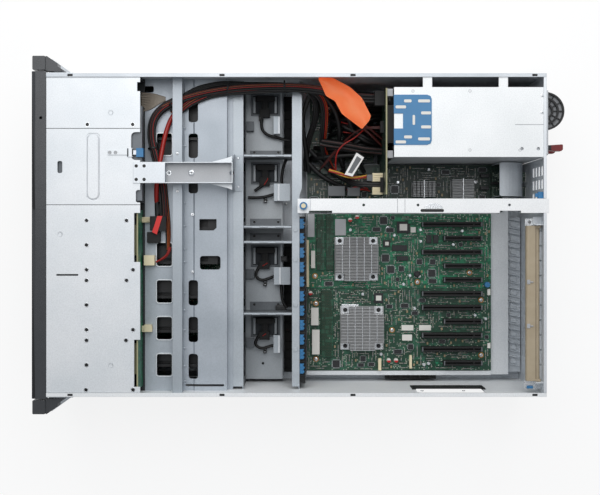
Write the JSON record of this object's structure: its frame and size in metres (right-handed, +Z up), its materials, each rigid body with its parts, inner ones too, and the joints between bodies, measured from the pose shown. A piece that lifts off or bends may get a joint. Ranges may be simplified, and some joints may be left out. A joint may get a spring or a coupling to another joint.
{
  "type": "rack server",
  "caption": "Four-unit rack server with its top cover off: sheet-metal case with slide-out processor drawer, empty fan bays, expansion slots and stacked power supplies.",
  "frame": {"origin": "on the underside of the case, on its centreline, at the middle of the case between front and rear", "axes": "front faces -Y, rear faces +Y, +Z up"},
  "size_m": [0.4826, 0.722, 0.1725],
  "materials": {
    "plated_steel": "zinc-plated sheet steel, satin",
    "dark_plastic": "matt dark grey plastic",
    "black_plastic": "matt black plastic",
    "blue_plastic": "matt blue plastic",
    "red_plastic": "matt dark red plastic",
    "tan_plastic": "matt tan plastic",
    "cream_plastic": "matt cream nylon",
    "green_board": "green solder mask over glass fibre",
    "sink_aluminium": "plain aluminium",
    "supply_case": "plain sheet metal",
    "black_cable": "black cable jacket",
    "red_cable": "red cable sleeve",
    "beige_ribbon": "woven beige ribbon cable",
    "orange_paper": "orange tag film"
  },
  "bodies": {
    "chassis": {"chassis_pan": "plated_steel", "rear_panel": "plated_steel", "slot_covers": "plated_steel", "drive_cage": "plated_steel", "cage_covers": "plated_steel", "drive_backplane": "green_board", "mid_shelf": "plated_steel", "shelf_strut": "plated_steel", "brace_channel": "plated_steel", "fan_front_wall": "plated_steel", "fan_rear_wall": "plated_steel", "fan_bay_floor": "plated_steel", "fan_dividers": "plated_steel", "fan_connectors": "black_plastic", "card_guide_strip": "black_plastic", "card_clips": "blue_plastic", "io_tray": "plated_steel", "io_boards": "green_board", "expansion_slots": "black_plastic", "board_heatsinks": "sink_aluminium", "system_board": "green_board", "psu_cage": "plated_steel", "psu_backplane": "green_board", "black_harness": "black_cable", "red_leads": "red_cable", "ribbon_cable": "beige_ribbon", "wire_connectors": "cream_plastic", "orange_tag": "orange_paper", "front_bezel": "dark_plastic", "rack_ears": "plated_steel", "optical_drive": "plated_steel", "drive_blanks": "dark_plastic"},
    "processor_drawer": {"drawer_tray": "plated_steel", "drawer_front": "dark_plastic", "processor_board": "green_board", "processor_heatsinks": "sink_aluminium", "memory_cartridges": "black_plastic"},
    "drawer_lever_left": {"drawer_lever_left": "black_plastic"},
    "drawer_lever_right": {"drawer_lever_right": "black_plastic"},
    "drive_1": {"hot_drive_1": "supply_case"},
    "drive_2": {"hot_drive_2": "supply_case"},
    "drive_lever_1": {"drive_lever_1": "dark_plastic"},
    "drive_lever_2": {"drive_lever_2": "dark_plastic"},
    "optical_tray": {"optical_tray": "dark_plastic"},
    "optical_latch": {"optical_latch": "blue_plastic"},
    "power_button": {"power_button": "dark_plastic"},
    "ear_lever_left": {"ear_lever_left": "dark_plastic"},
    "ear_lever_right": {"ear_lever_right": "dark_plastic"},
    "card_retainer": {"card_retainer": "tan_plastic"},
    "cross_bar": {"cross_bar": "plated_steel"},
    "cross_bar_screw": {"cross_bar_screw": "blue_plastic"},
    "cross_bar_latch": {"cross_bar_latch": "blue_plastic"},
    "power_supply_1": {"psu_1": "supply_case"},
    "supply_latch_1": {"psu_latch_1": "red_plastic"},
    "power_supply_2": {"psu_2": "supply_case"},
    "supply_latch_2": {"psu_latch_2": "red_plastic"},
    "power_supply_3": {"psu_3": "supply_case"},
    "supply_latch_3": {"psu_latch_3": "red_plastic"},
    "power_supply_4": {"psu_4": "supply_case"},
    "supply_latch_4": {"psu_latch_4": "red_plastic"}
  },
  "joints": [
    {"name": "drawer_slide", "type": "slide", "parent": "chassis", "child": "processor_drawer", "axis": [0, -1, 0], "range_m": [0, 0.24]},
    {"name": "drawer_lever_left_swing", "type": "hinge", "parent": "processor_drawer", "child": "drawer_lever_left", "pos_m": [-0.203, -0.3512, 0.015], "axis": [0, 0, -1], "range_deg": [0, 60]},
    {"name": "drawer_lever_right_swing", "type": "hinge", "parent": "processor_drawer", "child": "drawer_lever_right", "pos_m": [0.203, -0.3512, 0.015], "axis": [0, 0, 1], "range_deg": [0, 60]},
    {"name": "drive_1_slide", "type": "slide", "parent": "chassis", "child": "drive_1", "axis": [0, -1, 0], "range_m": [0, 0.12]},
    {"name": "drive_2_slide", "type": "slide", "parent": "chassis", "child": "drive_2", "axis": [0, -1, 0], "range_m": [0, 0.12]},
    {"name": "drive_lever_1_swing", "type": "hinge", "parent": "drive_1", "child": "drive_lever_1", "pos_m": [-0.0193, -0.354, 0.136], "axis": [0, 0, -1], "range_deg": [0, 45]},
    {"name": "drive_lever_2_swing", "type": "hinge", "parent": "drive_2", "child": "drive_lever_2", "pos_m": [0.0613, -0.354, 0.136], "axis": [0, 0, -1], "range_deg": [0, 45]},
    {"name": "optical_tray_slide", "type": "slide", "parent": "chassis", "child": "optical_tray", "axis": [0, -1, 0], "range_m": [0, 0.11]},
    {"name": "optical_latch_flex", "type": "hinge", "parent": "chassis", "child": "optical_latch", "pos_m": [-0.1109, -0.257, 0.1715], "axis": [1, 0, 0], "range_deg": [0, 3], "stiffness_Nm_per_rad": 2},
    {"name": "power_button_press", "type": "slide", "parent": "chassis", "child": "power_button", "axis": [0, 1, 0], "range_m": [0, 0.001], "stiffness_N_per_m": 400},
    {"name": "ear_lever_left_pull", "type": "hinge", "parent": "chassis", "child": "ear_lever_left", "pos_m": [-0.228, -0.336, 0.153], "axis": [1, 0, 0], "range_deg": [0, 40]},
    {"name": "ear_lever_right_pull", "type": "hinge", "parent": "chassis", "child": "ear_lever_right", "pos_m": [0.228, -0.336, 0.153], "axis": [1, 0, 0], "range_deg": [0, 40]},
    {"name": "card_retainer_swing", "type": "hinge", "parent": "chassis", "child": "card_retainer", "pos_m": [0.093, 0.326, 0.158], "axis": [-1, 0, 0], "range_deg": [0, 95]},
    {"name": "cross_bar_lift", "type": "slide", "parent": "chassis", "child": "cross_bar", "axis": [0, 0, 1], "range_m": [0, 0.06]},
    {"name": "cross_bar_screw_turn", "type": "hinge", "parent": "cross_bar", "child": "cross_bar_screw", "pos_m": [-0.0393, 0.006, 0.166], "axis": [0, 0, 1], "continuous": true},
    {"name": "cross_bar_latch_slide", "type": "slide", "parent": "chassis", "child": "cross_bar_latch", "axis": [-1, 0, 0], "range_m": [0, 0.004], "stiffness_N_per_m": 200},
    {"name": "power_supply_1_slide", "type": "slide", "parent": "chassis", "child": "power_supply_1", "axis": [0, 1, 0], "range_m": [0, 0.19]},
    {"name": "supply_latch_1_press", "type": "hinge", "parent": "power_supply_1", "child": "supply_latch_1", "pos_m": [-0.119, 0.34, 0.148], "axis": [0, 0, 1], "range_deg": [0, 8], "stiffness_Nm_per_rad": 0.5},
    {"name": "power_supply_2_slide", "type": "slide", "parent": "chassis", "child": "power_supply_2", "axis": [0, 1, 0], "range_m": [0, 0.19]},
    {"name": "supply_latch_2_press", "type": "hinge", "parent": "power_supply_2", "child": "supply_latch_2", "pos_m": [-0.119, 0.34, 0.1062], "axis": [0, 0, 1], "range_deg": [0, 8], "stiffness_Nm_per_rad": 0.5},
    {"name": "power_supply_3_slide", "type": "slide", "parent": "chassis", "child": "power_supply_3", "axis": [0, 1, 0], "range_m": [0, 0.19]},
    {"name": "supply_latch_3_press", "type": "hinge", "parent": "power_supply_3", "child": "supply_latch_3", "pos_m": [-0.119, 0.34, 0.0644], "axis": [0, 0, 1], "range_deg": [0, 8], "stiffness_Nm_per_rad": 0.5},
    {"name": "power_supply_4_slide", "type": "slide", "parent": "chassis", "child": "power_supply_4", "axis": [0, 1, 0], "range_m": [0, 0.19]},
    {"name": "supply_latch_4_press", "type": "hinge", "parent": "power_supply_4", "child": "supply_latch_4", "pos_m": [-0.119, 0.34, 0.0226], "axis": [0, 0, 1], "range_deg": [0, 8], "stiffness_Nm_per_rad": 0.5}
  ]
}
